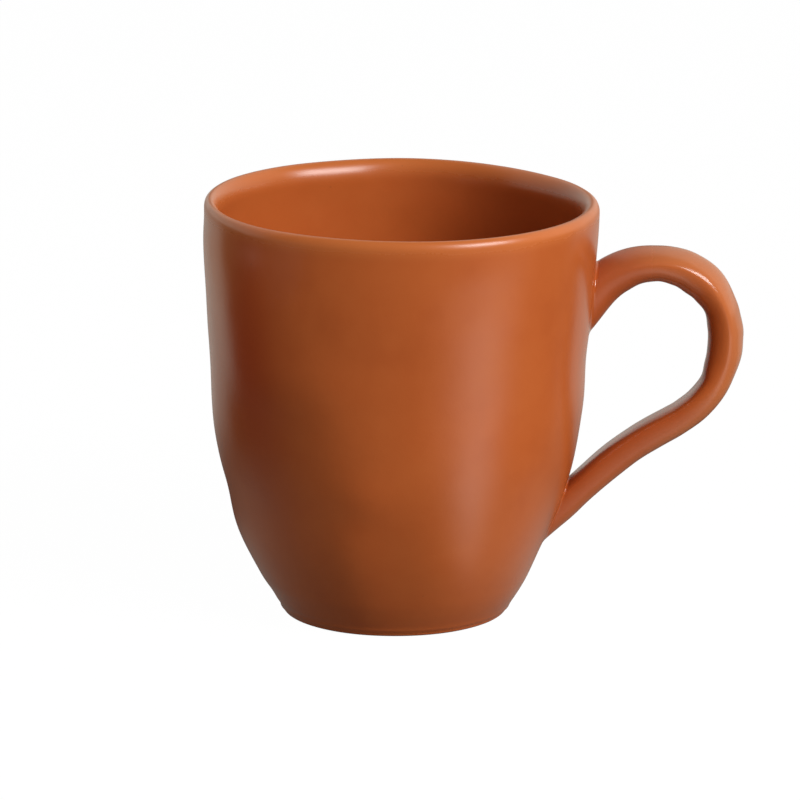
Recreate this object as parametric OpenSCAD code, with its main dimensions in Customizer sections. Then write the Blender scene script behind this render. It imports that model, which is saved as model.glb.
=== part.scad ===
// Hand-formed clay mug: a pressed round wall on a base slab with a turned foot ring, and a pulled strap
// handle stuck to the wall with slip at its two ends.
// Lengths are in millimetres. The cup stands on z = 0 with its axis on z, and the handle points along +x.

/* [Cup] */
// Height from the table to the top of the lip
cup_h = 93.6; // [70:0.2:140]
// Outer diameter just under the lip
lip_d = 88; // [60:1:120]
// Outer diameter at the shoulder, where the bowl turns up into the wall, as a share of the lip's
shoulder_share = 0.948; // [0.9:0.002:0.99]
// Height of the shoulder above the table
shoulder_h = 46; // [30:1:70]
// Thickness of the wall
wall_t = 3.8; // [2.5:0.1:6]
// Height of the rounding of the lip
lip_round = 2.6; // [1:0.1:5]

/* [Base] */
// Outer diameter of the bowl where it meets the foot ring
heel_d = 53.2; // [40:0.2:72]
// Height of the foot ring
foot_h = 3; // [2:0.1:8]
// Outer diameter of the foot ring on the table
foot_d = 50.4; // [36:0.2:70]
// Width of the foot ring, measured along its radius
foot_w = 5; // [3:0.1:9]
// Rounding of the two lower edges of the foot ring
foot_round = 0.8; // [0.3:0.1:1.4]
// Thickness of the base slab, which is the floor of the cup
slab_t = 5; // [3:0.1:9]
// Height of the coil pressed into the inner corner, counted in rows of the wall
coil_rows = 2; // [1:1:4]
// How far the coil runs in over the floor
coil_run = 6; // [3:0.1:10]

/* [Handle] */
// How far the handle stands out from the lip
handle_reach = 33.6; // [24:0.2:48]
// Height of the middle of the upper joint, as a share of the cup's height
upper_joint_share = 0.758; // [0.66:0.002:0.79]
// Height of the middle of the lower joint, as a share of the cup's height
lower_joint_share = 0.24; // [0.22:0.002:0.36]
// Thickness of the strap, seen from the side
handle_t = 7; // [5:0.1:10]
// Extra thickness of the strap over its crest and outer bend
bend_swell = 1.2; // [0:0.1:2]
// How much thinner the strap is at its lower end
tail_thin = 1; // [0:0.1:2]
// Width of the strap, seen from the end
handle_w = 13; // [8:0.2:20]
// How much narrower the lower arm of the strap is, as a share of its width
narrow_share = 0.24; // [0:0.02:0.4]
// How far the ridge along the strap's two sides lies out of its middle
ridge_out = 0.8; // [0:0.1:1.5]
// Extra thickness of the strap where it starts, inside the upper joint
upper_flare = 5; // [2:0.2:7]

/* [Joints] */
// Thickness of the slip under the ends of the handle and under the wall
slip_t = 0.8; // [0.4:0.1:1.5]
// How far the slip is squeezed out all round each end of the handle
slip_bead = 0.9; // [0.4:0.1:2]
// How far the slip under the wall is wiped back from the outer face
slip_wipe = 0.4; // [0.2:0.1:1]

/* [Hand forming] */
// How far the lip is pulled out of round, as a change of radius
oval = 0.9; // [0:0.1:1.6]
// Direction in which the lip is widest, in degrees from the handle
oval_azimuth = -45; // [-180:5:180]
// How far the lip has moved towards the handle
lean = 1.4; // [0:0.1:3]
// Depth of a thumb print whose share is one
print_depth = 0.6; // [0:0.1:1.2]
// Height over which the round base passes into the pressed wall
fade_h = 14; // [6:1:30]

/* [Facets] */
// Facets around the cup
around = 60; // [36:12:96]
// Rows of facets from the base slab to the lip
rows = 20; // [12:2:28]
// Rows of facets over the lip
lip_rows = 8; // [4:2:12]
// Facets around the strap
strap_facets = 20; // [12:4:32]
// Rings of facets in each of the four bends of the strap
bend_rings = 9; // [6:1:14]

/* [Hidden] */
$fn = around;
slab_top = foot_h + slab_t;
wall_z = slab_top + slip_t;
lip_z = cup_h - lip_round;
row_h = (lip_z - wall_z) / rows;
upper_joint_h = upper_joint_share * cup_h;
lower_joint_h = lower_joint_share * cup_h;
on_axis = 0;
on_table = 0;
flush = 0;
// Places of the curve handles of the bowl, as shares of the way from the heel to the shoulder
bowl_shares = [[0.63, 0.28], [0.985, 0.86]];
// Places of the curve handles of the upper wall, as shares of the way from the shoulder to the lip
wall_shares = [[0.03, 0.38], [1, 0.72]];
// Thumb prints: azimuth, height, spread around and up, then depth; a negative depth stands proud
print_shares = [
    [0, 0.17, 0.55, 0.09, 0.7],
    [180, 0.17, 0.6, 0.1, -0.8],
    [180, 0.37, 0.5, 0.12, 0.4],
    [205, 0.62, 0.4, 0.12, 0.6],
    [238, 0.8, 0.35, 0.1, -0.5],
    [265, 0.56, 0.45, 0.14, 0.8],
    [292, 0.3, 0.4, 0.11, 0.6],
    [318, 0.66, 0.38, 0.15, -0.6],
    [45, 0.97, 0.45, 0.16, 1],
    [75, 0.38, 0.45, 0.12, 0.7],
    [110, 0.72, 0.5, 0.14, -0.6],
    [145, 0.5, 0.4, 0.13, 0.8],
    [229, 0.73, 0.29, 0.176, -1.5],
    [237, 0.63, 0.32, 0.088, -1.5],
    [229, 0.395, 0.38, 0.163, 1.5],
    [220, 0.82, 0.23, 0.192, -1.5],
    [270, 0.176, 0.19, 0.126, 1.5],
    [292, 0.75, 0.25, 0.29, -0.7]
];
// The strap's four bends: share of the way out from the wall, and share of the way up between the joints
strap_shares = [
    [[-0.227, -0.113], [0, 0], [0.06, 0.167], [0.473, 0.167]],
    [[0.473, 0.167], [0.69, 0.167], [1, 0.06], [1, -0.16]],
    [[1, -0.16], [1, -0.3], [0.965, -0.478], [0.62, -0.588]],
    [[0.62, -0.588], [0.26, -0.716], [0.11, -0.89], [-0.13, -1.144]]
];
// Power that squares up the round section, by bends along the strap: above one it has a ridge, below one a flat
soft_shares = [[0, 0.9], [0.8, 1.1], [1.8, 1.1], [2.8, 0.65], [4, 0.65]];
// How far the ridge is moved, by bends along the strap: outwards over the crest, inwards on the lower arm
ridge_shares = [[0, 0], [0.6, 1], [1.7, 1], [2.8, -0.9], [4, -0.9]];
// How much of the narrowing applies, by bends along the strap
narrow_shares = [[1.5, 0], [1.9, 0.18], [2.25, 0.5], [2.6, 0.82], [3, 1]];
// Where the tail begins to thin and where it ends, in bends
tail_shares = [[2.2, 0], [4, 1]];
// Extra width of the strap where it starts
joint_w_share = 0.12;
// Where along the strap its swelling lies and how far it spreads, in bends
swell_at_share = 1.5;
swell_share = 0.72;
swell_power = 4;
// Depth of the cutter that fits the handle's ends to the wall, in strap thicknesses
cut_share = 2.4;
// Where the joint regions end, as a share of the rows of the wall
split_share = 0.5;
first_row = 0;
middle_row = round(rows * split_share);
first_ring = 0;
patch_columns = ceil(around / 12);
curve_steps = 48;
steps_per_coil = 6;
half_turn = 180;
shoulder_d = shoulder_share * lip_d;
full_turn = 360;
// Power with which the lean grows up the cup
lean_power = 1.4;

clay = "#b5562a";
wet_clay = "#8f4a2b";
bare_clay = "#c98d63";

// A point of a cubic curve with four control points.
function curve(c, t) =
    pow(1 - t, 3) * c[0] + 3 * t * pow(1 - t, 2) * c[1] + 3 * t * t * (1 - t) * c[2] + pow(t, 3) * c[3];

// The direction of a cubic curve.
function slope(c, t) =
    pow(1 - t, 2) * (c[1] - c[0]) + 2 * t * (1 - t) * (c[2] - c[1]) + t * t * (c[3] - c[2]);

// A point between two others, with a share for each coordinate.
function between(a, b, share) = [for (i = [0:1]) a[i] + (b[i] - a[i]) * share[i]];

function unit(v) = v / norm(v);

// Outline of the cup: the bowl from heel to shoulder, then the wall from shoulder to lip
heel = [heel_d / 2, foot_h];
shoulder = [shoulder_d / 2, shoulder_h];
lip = [lip_d / 2, lip_z];
bowl_curve = [heel, between(heel, shoulder, bowl_shares[0]), between(heel, shoulder, bowl_shares[1]), shoulder];
wall_curve = [shoulder, between(shoulder, lip, wall_shares[0]), between(shoulder, lip, wall_shares[1]), lip];
outline = concat(
    [for (i = [0:curve_steps - 1]) curve(bowl_curve, i / curve_steps)],
    [for (i = [0:curve_steps]) curve(wall_curve, i / curve_steps)]
);
radius_table = [for (p = outline) [p[1], p[0]]];

// Outer radius of the cup at a height, before it is pressed.
function outer_r(z) = lookup(z, radius_table);

// Thickness of the wall measured level, which is more where the wall slopes.
function level_t(z) = wall_t * sqrt(1 + pow((outer_r(z + row_h / 4) - outer_r(z - row_h / 4)) / (row_h / 2), 2));
function inner_r(z) = outer_r(z) - (z < lip_z - row_h / 2 ? level_t(z) : wall_t);

// How much of the pressing applies at a height: none at the base slab, all of it above fade_h.
function fade(z) =
    let (s = max(0, min(1, (z - wall_z) / fade_h)))
    s * s * (3 - 2 * s);

// The pressing of the wall at an azimuth and a height, outwards.
function one_print(p, a, z) =
    -p[4] * print_depth * exp((cos(a - p[0]) - 1) / pow(p[2], 2)) * exp(-pow((z / cup_h - p[1]) / p[3], 2));
function pressed(a, z, i = 0) =
    i == len(print_shares) ? 0 : one_print(print_shares[i], a, z) + pressed(a, z, i + 1);
function press(a, z) =
    fade(z) * (pressed(a, z) + oval * pow(z / cup_h, 2) * cos(2 * (a - oval_azimuth)));

// How far the middle of the cup has moved towards the handle at a height.
function lean_x(z) = lean * pow(max(0, z - wall_z) / (cup_h - wall_z), lean_power);

// A point of the pressed cup from its round place.
function cup_point(r, a, z) =
    let (pressed_r = r + press(a, z))
    [lean_x(z) + pressed_r * cos(a), pressed_r * sin(a), z];

function azimuth(k) = full_turn * k / around;
function row_z(i) = wall_z + row_h * i;

// A ring whose section is a closed outline, pressed with the cup.
module pressed_ring(section) {
    n = len(section);
    points = [for (p = section) for (k = [0:around - 1]) cup_point(p[0], azimuth(k), p[1])];
    faces = [for (i = [0:n - 1]) for (k = [0:around - 1])
        let (
            j = (i + 1) % n,
            m = (k + 1) % around,
            a = i * around + k,
            b = i * around + m,
            c = j * around + m,
            d = j * around + k
        )
        each [[a, c, b], [a, d, c]]
    ];
    polyhedron(points = points, faces = faces);
}

// A piece of the wall's outer face near the handle, from one depth to another, with the wall's own facets.
module wall_patch(inner, outer, first, last) {
    columns = 2 * patch_columns + 1;
    levels = last - first + 1;
    sheet = columns * levels;
    points = [for (grow = [inner, outer]) for (i = [first:last]) for (k = [-patch_columns:patch_columns])
        cup_point(outer_r(row_z(i)) + grow, azimuth(k), row_z(i))
    ];
    skins = [for (i = [0:levels - 2]) for (k = [0:columns - 2])
        let (
            a = i * columns + k,
            b = a + 1,
            c = b + columns,
            d = a + columns
        )
        each [
            [sheet + a, sheet + c, sheet + b],
            [sheet + a, sheet + d, sheet + c],
            [a, b, c],
            [a, c, d]
        ]
    ];
    edge = concat(
        [for (k = [0:columns - 2]) k],
        [for (i = [0:levels - 2]) i * columns + columns - 1],
        [for (k = [columns - 1:-1:1]) (levels - 1) * columns + k],
        [for (i = [levels - 1:-1:1]) i * columns]
    );
    sides = [for (i = [0:len(edge) - 1])
        let (
            a = edge[i],
            b = edge[(i + 1) % len(edge)]
        )
        each [[a, sheet + b, b], [a, sheet + a, sheet + b]]
    ];
    polyhedron(points = points, faces = concat(skins, sides));
}

// The strap's path in the plane of the handle
strap_out = lip_d / 2 + handle_reach - (handle_t + bend_swell) / 2;
joint_gap = upper_joint_h - lower_joint_h;
function strap_place(share) =
    let (
        z = upper_joint_h + share[1] * joint_gap,
        x = outer_r(z) + lean_x(z)
    )
    [x + share[0] * (strap_out - x), z];
bends = [for (b = strap_shares) [for (s = b) strap_place(s)]];
last_ring = len(bends) * bend_rings;
function bend_of(i) = min(len(bends) - 1, floor(i / bend_rings));
function place_of(i) = curve(bends[bend_of(i)], i / bend_rings - bend_of(i));
function way_of(i) = unit(slope(bends[bend_of(i)], i / bend_rings - bend_of(i)));
// One at the start of the strap and nothing from its crest on
function start_share(i) = max(0, 1 - i / bend_rings);
// One over the crest and the outer bend, fading to nothing on both sides
function swell(i) = exp(-pow((i / bend_rings - swell_at_share) / swell_share, swell_power));
function tail(i) = lookup(i / bend_rings, tail_shares);
function narrow(i) = 1 - narrow_share * lookup(i / bend_rings, narrow_shares);
function soften(v, power) = sign(v) * pow(abs(v), power);

// One ring of the strap, grown by a length.
function strap_ring(i, grow) =
    let (
        p = place_of(i),
        way = way_of(i),
        thick = handle_t + upper_flare * start_share(i) + bend_swell * swell(i) - tail_thin * tail(i),
        half_t = thick / 2 + grow,
        half_w = handle_w / 2 * (1 + joint_w_share * start_share(i)) * narrow(i) + grow,
        power = lookup(i / bend_rings, soft_shares),
        ridge = ridge_out * lookup(i / bend_rings, ridge_shares)
    )
    [for (k = [0:strap_facets - 1])
        let (
            a = full_turn * (k + 0.5) / strap_facets,
            wide = soften(sin(a), power),
            side = half_t * soften(cos(a), power) + ridge * wide * wide
        )
        [p[0] - way[1] * side, half_w * wide, p[1] + way[0] * side]
    ];

// The strap from one ring to another, running on into the wall.
module strap(grow, first, last) {
    rings = last - first + 1;
    points = [for (i = [first:last]) each strap_ring(i, grow)];
    skin = [for (i = [0:rings - 2]) for (k = [0:strap_facets - 1])
        let (
            m = (k + 1) % strap_facets,
            a = i * strap_facets + k,
            b = i * strap_facets + m,
            c = b + strap_facets,
            d = a + strap_facets
        )
        each [[a, b, c], [a, c, d]]
    ];
    start = [for (k = [strap_facets - 1:-1:0]) k];
    end = [for (k = [0:strap_facets - 1]) (rings - 1) * strap_facets + k];
    polyhedron(points = points, faces = concat(skin, [start, end]));
}

// Standing ring under the cup, with rounded lower edges.
module foot_ring() {
    outer = foot_d / 2;
    inner = outer - foot_w;
    top = heel_d / 2;
    color(bare_clay)
        rotate_extrude()
            union() {
                polygon([
                    [inner, foot_round],
                    [inner + foot_round, on_table],
                    [outer - foot_round, on_table],
                    [outer, foot_round],
                    [top, foot_h],
                    [inner, foot_h]
                ]);
                translate([inner + foot_round, foot_round])
                    circle(r = foot_round);
                translate([outer - foot_round, foot_round])
                    circle(r = foot_round);
            }
}

// Floor of the cup, with its edge sloped to follow the bowl.
module base_slab() {
    color(clay)
        translate([on_axis, on_axis, foot_h])
            cylinder(h = slab_t, r1 = heel_d / 2, r2 = outer_r(slab_top));
}

// Slip between the base slab and the wall.
module base_slip() {
    color(wet_clay)
        rotate_extrude()
            polygon([
                [inner_r(wall_z), slab_top],
                [outer_r(slab_top) - slip_wipe, slab_top],
                [outer_r(wall_z) - slip_wipe, wall_z],
                [inner_r(wall_z), wall_z]
            ]);
}

// The wall: outer face, rounded lip and inner face.
module cup_wall() {
    outer_face = [for (i = [0:rows]) [outer_r(row_z(i)), row_z(i)]];
    lip_face = [for (i = [1:lip_rows - 1])
        let (a = half_turn * i / lip_rows)
        [lip_d / 2 - wall_t / 2 + wall_t / 2 * cos(a), lip_z + lip_round * sin(a)]
    ];
    inner_face = [for (i = [rows:-1:0]) [inner_r(row_z(i)), row_z(i)]];
    color(clay)
        pressed_ring(concat(outer_face, lip_face, inner_face));
}

// Coil of clay pressed into the corner between the floor and the wall.
module corner_coil() {
    corner = [inner_r(wall_z), slab_top];
    top = [inner_r(row_z(coil_rows)), row_z(coil_rows)];
    toe = [corner[0] - coil_run, slab_top];
    back = [for (i = [0:coil_rows - 1]) [inner_r(row_z(i)), row_z(i)]];
    hollow = [for (i = [0:steps_per_coil])
        let (t = i / steps_per_coil)
        pow(1 - t, 2) * top + 2 * t * (1 - t) * corner + t * t * toe
    ];
    color(clay)
        pressed_ring(concat([corner], back, hollow));
}

// Pulled strap, with its two ends fitted to the slip on the wall.
module handle() {
    color(clay)
        difference() {
            strap(flush, first_ring, last_ring);
            wall_patch(-cut_share * handle_t, slip_t, middle_row, rows);
            wall_patch(-cut_share * handle_t, slip_t, first_row, middle_row);
        }
}

// Slip between the wall and the upper end of the handle.
module upper_handle_slip() {
    color(wet_clay)
        intersection() {
            strap(slip_bead, first_ring, bend_rings);
            wall_patch(flush, slip_t, middle_row, rows);
        }
}

// Slip between the wall and the lower end of the handle.
module lower_handle_slip() {
    color(wet_clay)
        intersection() {
            strap(slip_bead, last_ring - bend_rings, last_ring);
            wall_patch(flush, slip_t, first_row, middle_row);
        }
}

foot_ring();
base_slab();
base_slip();
cup_wall();
corner_coil();
handle();
upper_handle_slip();
lower_handle_slip();
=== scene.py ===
"""Looks of a hand-formed clay mug, built around its packed solids."""
import math
from functools import partialmethod
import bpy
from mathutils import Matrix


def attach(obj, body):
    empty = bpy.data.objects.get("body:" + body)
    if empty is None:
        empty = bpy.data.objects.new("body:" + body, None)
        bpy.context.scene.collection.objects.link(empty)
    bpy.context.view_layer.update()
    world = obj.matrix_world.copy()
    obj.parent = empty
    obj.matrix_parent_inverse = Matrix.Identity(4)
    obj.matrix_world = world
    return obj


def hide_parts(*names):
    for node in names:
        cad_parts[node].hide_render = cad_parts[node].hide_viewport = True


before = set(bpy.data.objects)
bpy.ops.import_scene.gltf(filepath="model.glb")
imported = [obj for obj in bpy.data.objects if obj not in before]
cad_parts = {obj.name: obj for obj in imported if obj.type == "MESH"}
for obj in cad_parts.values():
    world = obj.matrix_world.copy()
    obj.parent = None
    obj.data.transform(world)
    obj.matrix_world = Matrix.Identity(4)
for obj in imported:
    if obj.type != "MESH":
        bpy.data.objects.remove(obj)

from types import SimpleNamespace

import bpy
from mathutils import Vector
from mathutils.bvhtree import BVHTree

bl_info = {
    "name": "Clay mug",
    "version": (1, 0, 0),
    "blender": (4, 5, 0),
    "location": "3D View > Sidebar > Clay mug",
    "description": "Makes the glazed body, foot, strap handle and slip seams of a hand-formed clay mug",
    "category": "Object",
}

BODY = "root"
MM = 0.001
FULL_TURN = 2 * math.pi
QUARTER_TURN = math.pi / 2


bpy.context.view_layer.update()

# Curve handles of the bowl and of the upper wall, as shares of the way between their ends
BOWL_SHARES = ((0.63, 0.28), (0.985, 0.86))
WALL_SHARES = ((0.03, 0.38), (1.0, 0.72))

# Presses in the wall: azimuth in degrees, height, spread around, spread up, depth; a negative depth stands proud.
# Thumb prints fade out towards the round base.
PRINT_SHARES = (
    (0, 0.17, 0.55, 0.09, 0.7), (180, 0.17, 0.6, 0.1, -0.8), (180, 0.37, 0.5, 0.12, 0.4),
    (205, 0.62, 0.4, 0.12, 0.6), (238, 0.8, 0.35, 0.1, -0.5), (265, 0.56, 0.45, 0.14, 0.8),
    (292, 0.3, 0.4, 0.11, 0.6), (318, 0.66, 0.38, 0.15, -0.6), (45, 0.97, 0.45, 0.16, 1.0),
    (75, 0.38, 0.45, 0.12, 0.7), (110, 0.72, 0.5, 0.14, -0.6), (145, 0.5, 0.4, 0.13, 0.8),
)
# The others don't fade out: along the left and right sides, over the front, and in the lip.
SIDE_SHARES = (
    (180, 0.055, 0.7, 0.026, 0.6), (180, 0.0225, 0.8, 0.008, 0.35), (0, 0.145, 0.5, 0.05, 0.6),
    (180, 0.31, 0.4, 0.05, 0.55), (180, 0.965, 0.5, 0.045, 0.6), (180, 0.8, 0.5, 0.11, 0.25),
    (0, 0.46, 0.4, 0.07, 0.5), (0, 0.62, 0.3, 0.07, 0.5),
)
FRONT_SHARES = (
    (229, 0.73, 0.29, 0.176, -1.5), (237, 0.63, 0.32, 0.088, -1.5), (251, 0.555, 0.13, 0.104, -0.7),
    (260, 0.375, 0.13, 0.064, -1.15), (254, 0.245, 0.13, 0.099, -1.1), (229, 0.395, 0.38, 0.163, 1.5),
    (220, 0.82, 0.23, 0.192, -1.5), (270, 0.176, 0.19, 0.126, 1.5), (292, 0.75, 0.25, 0.29, -0.7),
)
LIP_SHARES = (
    (112, 0.97, 0.18, 0.06, 1.0), (87, 0.97, 0.18, 0.06, -0.9), (72, 0.97, 0.15, 0.05, -0.5),
    (42, 0.97, 0.16, 0.05, 0.5), (250, 0.985, 0.55, 0.075, 0.9),
)
# Radii between which these set in, so that the floor stays flat
PRESS_RADII = (18 * MM, 24 * MM)
LEAN_POWER = 1.4

# The strap's four bends: share of the way out from the wall, share of the way up between the joints
STRAP_SHARES = (
    ((-0.227, -0.113), (0.0, 0.0), (0.06, 0.167), (0.473, 0.167)),
    ((0.473, 0.167), (0.785, 0.169), (1.0, 0.015), (1.0, -0.16)),
    ((1.0, -0.16), (1.0, -0.3), (0.945, -0.464), (0.62, -0.591)),
    ((0.62, -0.591), (0.26, -0.724), (0.11, -0.893), (-0.13, -1.144)),
)
# Along the bends: where the strap swells and where its toe stands proud
SWELL_AT, SWELL_SPREAD, SWELL_POWER = 1.38, 0.68, 4
TOE_AT, TOE_SPREAD = 3.78, 0.1
# Along the bends: where each change of the strap starts and ends
TAIL, NARROWS, LOWER_ARM = (2.2, 4.0), (1.5, 3.0), (2.0, 2.9)
GABLE_STARTS, GABLE_ENDS, RIDGE_STARTS, INSIDE_ROUNDS = (0.0, 0.8), (1.9, 2.7), (0.0, 0.6), (1.1, 1.6)
JOINT_WIDTH_SHARE, RIDGE_TURN_SHARE = 0.12, 1.5
# Powers of the section's outer and inner half, and what each change adds
OUTER_POWER, GABLE_ADDS, OUTER_LOWER_ADDS = 0.9, 0.35, -0.28
INNER_POWER, ROUND_ADDS, INNER_LOWER_ADDS = 0.68, 0.14, -0.07

# The strap's unevenness: how far along its bends, millimetres added to its outer and to its inner side
OUTER_UNEVEN = (
    (0.0, 0.0), (0.55, -0.24), (1.1, -0.29), (1.27, -0.1), (1.48, 0.1), (1.72, -0.28), (1.84, -0.16),
    (2.02, 0.42), (2.2, 0.68), (2.44, 0.22), (2.75, 0.06), (2.95, -0.15), (3.1, -0.08), (3.25, -0.19),
    (3.4, -0.1), (3.7, -0.15), (3.82, -0.3), (4.0, -0.1),
)
INNER_UNEVEN = (
    (0.0, 0.0), (0.7, 0.0), (0.9, -0.41), (1.0, -0.38), (1.2, -0.03), (1.38, 0.24), (1.54, -0.06),
    (1.75, -0.6), (1.95, -0.2), (2.2, 0.0), (2.36, -0.03), (2.56, -0.66), (2.74, -0.58), (2.88, -0.35),
    (3.0, -0.08), (3.2, 0.03), (3.38, 0.12), (3.6, -0.12), (3.8, -0.25), (4.0, -0.25),
)

# The slip fillet: rows across its hollow, and how far its hidden back lies behind the corner
SLIP_ROWS, SLIP_DEPTH = 11, 0.5
# Points closer than this are merged, and edges sharper than this stay sharp
SEAM, SLIP_SEAM = 0.002 * MM, 0.0005 * MM
SHARP, SLIP_SHARP = math.radians(50), math.radians(60)
# Step in stations with which a distance along the strap is measured
FIBRE_STEP = 0.02

# Patches of painted light and shade on the left of the wall: colour, place and spread in millimetres, strength,
# height over width. The first paints a redder, darker band of shade where the wall turns from the light, the
# second paints shade low on the left, and the third paints a highlight high up along the left edge.
PAINTED_LIGHT_PATCHES = (
    ("flash", (-32, -27.8, 64), 9.5, 1.0, 3.5),
    ("iron", (-29, -23, 37), 17, 0.19, 1.4),
    ("edge", (-41, -14, 85), 9.5, 0.7, 1.6),
)

# The lights: place, target and size in metres
KEY_LIGHT = ((0.74, -0.71, 0.7), (0.0, 0.0, 0.05), (0.62, 0.42))
FILL_LIGHT = ((-0.27, -0.14, 0.1), (-0.03, -0.02, 0.06), (0.12, 0.12))
# Lit patches of the table, as the glaze mirrors them: place and spread in millimetres, brightness
RIGHT_PATCH = ((53, 4, 0), 38, 0.42)
LEFT_PATCH = ((-65, 0, 0), 42, 0.3)
# The surroundings as the camera sees them, and as the glaze mirrors them
WHITE, WARM_WHITE = (1.0, 1.0, 1.0), (1.0, 0.97, 0.87)
TABLE_GREY = (0.2, 0.2, 0.2, 1.0)
TABLE_REACH = 6.0


def number(name, value, description, **options):
    return bpy.props.FloatProperty(name=name, description=description, default=value, **options)


def length(name, value, description):
    return number(name, value * MM, description, unit="LENGTH", precision=5)


def share(name, value, description):
    return number(name, value, description, subtype="FACTOR", min=0.0, max=1.0)


def turn(name, value, description):
    return number(name, math.radians(value), description, subtype="ANGLE", unit="ROTATION")


def count(name, value, description):
    return bpy.props.IntProperty(name=name, description=description, default=value, min=12)


def colour(name, value, description):
    return bpy.props.FloatVectorProperty(
        name=name, description=description, default=value, subtype="COLOR", size=3, min=0.0, max=1.0)


class CupShape(bpy.types.PropertyGroup):
    """Sizes of the cup."""

    height: length("Height", 93.6, "From the table to the top of the lip")
    lip: length("Lip diameter", 88.0, "Outer diameter just under the lip")
    shoulder: length("Shoulder diameter", 83.4, "Where the bowl turns up into the wall")
    shoulder_height: length("Shoulder height", 46.0, "Shoulder above the table")
    wall: length("Wall", 3.8, "Thickness of the wall")
    lip_outer: length("Lip rounding outside", 2.2, "Height of the lip's outer rounding")
    lip_inner: length("Lip rounding inside", 5.4, "Height of the lip's longer inner rounding")
    crest: share("Crest", 0.38, "How far in the top of the lip lies, as a share of the wall")
    mouth_shift: length("Mouth shift", 0.45, "Mouth moved away from the handle")
    soften: length("Soften", 5.0, "Height over which the bowl eases into the wall")
    heel: length("Heel diameter", 53.2, "Where the bowl meets the foot")
    slab: length("Slab", 5.0, "Thickness of the floor")
    slip: length("Slip", 0.8, "Thickness of the slip under the wall")
    coil_run: length("Coil run", 6.0, "Coil in the inner corner, over the floor")
    coil_rise: length("Coil rise", 9.0, "Coil in the inner corner, up the wall")
    floor_dish: length("Floor dish", 0.35, "Dip in the middle of the floor")
    segments: count("Segments", 288, "Facets around the cup")


class FootShape(bpy.types.PropertyGroup):
    """Sizes of the foot ring."""

    height: length("Height", 3.0, "Height of the foot ring")
    diameter: length("Diameter", 50.4, "Outer diameter on the table")
    width: length("Width", 5.0, "Width of the ring along its radius")
    rounding: length("Rounding", 0.8, "Rounding of its lower edges")
    glaze: length("Glaze", 0.6, "Glazed skin beyond the bare ring")
    lift: length("Lift", 0.08, "Glazed skin above the table")


class HandForming(bpy.types.PropertyGroup):
    """How the wall was pressed by hand."""

    oval: length("Oval", 0.9, "Change of radius of the lip")
    oval_turn: turn("Widest at", -45.0, "Direction in which the lip is widest")
    lean: length("Lean", 1.4, "Lip moved towards the handle")
    print_depth: length("Print depth", 0.6, "Depth of a press whose share is one")
    fade: length("Fade", 14.0, "Height over which the pressing sets in")
    ripple: length("Ripple", 0.16, "Height of the small ripples that fingers leave")
    ripple_size: number("Ripples per metre", 58.0, "How close the ripples lie", min=1.0)


class HandleShape(bpy.types.PropertyGroup):
    """Sizes of the strap handle."""

    reach: length("Reach", 33.5, "Handle out from the lip")
    upper: share("Upper joint", 0.758, "Its height as a share of the cup's")
    lower: share("Lower joint", 0.24, "Its height as a share of the cup's")
    thickness: length("Thickness", 7.0, "Strap seen from the side")
    width: length("Width", 13.0, "Strap seen from the end")
    swell: length("Swell", 1.5, "Extra thickness round its outer bend")
    flare: length("Flare", 5.0, "Extra thickness at its start, in the upper joint")
    thinning: length("Thinning", 0.35, "Thinner by this at its lower end")
    narrowing: share("Narrowing", 0.24, "Narrower by this along its lower arm")
    ridge: length("Ridge", 0.8, "Ridge of its sides, out from the middle")
    taper: share("Taper", 0.1, "Inner face narrower by this than its widest line")
    toe: length("Toe", 0.3, "Lower tip proud of the wall")
    sink: length("Sink", 0.7, "Ends running on into the wall")
    fillet: length("Fillet", 1.1, "Slip up the strap and out over the wall")
    columns: count("Columns", 72, "Facets around the strap")
    rings: count("Rings", 190, "Rings of facets along the strap")


class GlazeFinish(bpy.types.PropertyGroup):
    """Colours and surface of the glaze and the clay, and the colours of painted light and shade on them."""

    glaze: colour("Glaze", (0.5, 0.105, 0.022), "Terracotta glaze where it lies evenly")
    warm: colour("Warm glaze", (0.56, 0.135, 0.03), "Glaze where it lies thin")
    # Real pooled glaze, and also painted shade inside the cup and a darker tone near the handle's ends.
    pooled: colour("Pooled glaze", (0.36, 0.066, 0.015), "Glaze where it has run together")
    # Painted sheen: a paler colour on the outside of the handle stands in for the reflection on it.
    worn: colour("Worn glaze", (0.66, 0.28, 0.125), "Glaze rubbed thin on the outside of the handle")
    # Lighter colour: on the lip it is partly thin glaze and partly a painted highlight, and high on the left edge
    # of the wall it is a painted highlight.
    edge: colour("Drawn glaze", (0.7, 0.2, 0.05), "Glaze that has drawn back, as along the edge of the lip")
    # Painted shade: a redder, darker glaze colour for the band where the wall turns from the light.
    flash: colour("Flash", (0.47, 0.066, 0.011), "Redder glaze where the flame ran along the cup")
    # Real dark specks, and also painted shade low on the left of the wall and on the inner face of the handle.
    iron: colour("Iron", (0.16, 0.05, 0.018), "Dark iron in specks, in smoked glaze and inside the handle")
    clay: colour("Bare clay", (0.47, 0.21, 0.105), "Unglazed clay under the foot")
    roughness: share("Roughness", 0.24, "Roughness of the satin glaze")
    grain: length("Grain", 0.035, "Height of the fine grain of the glaze")


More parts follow.
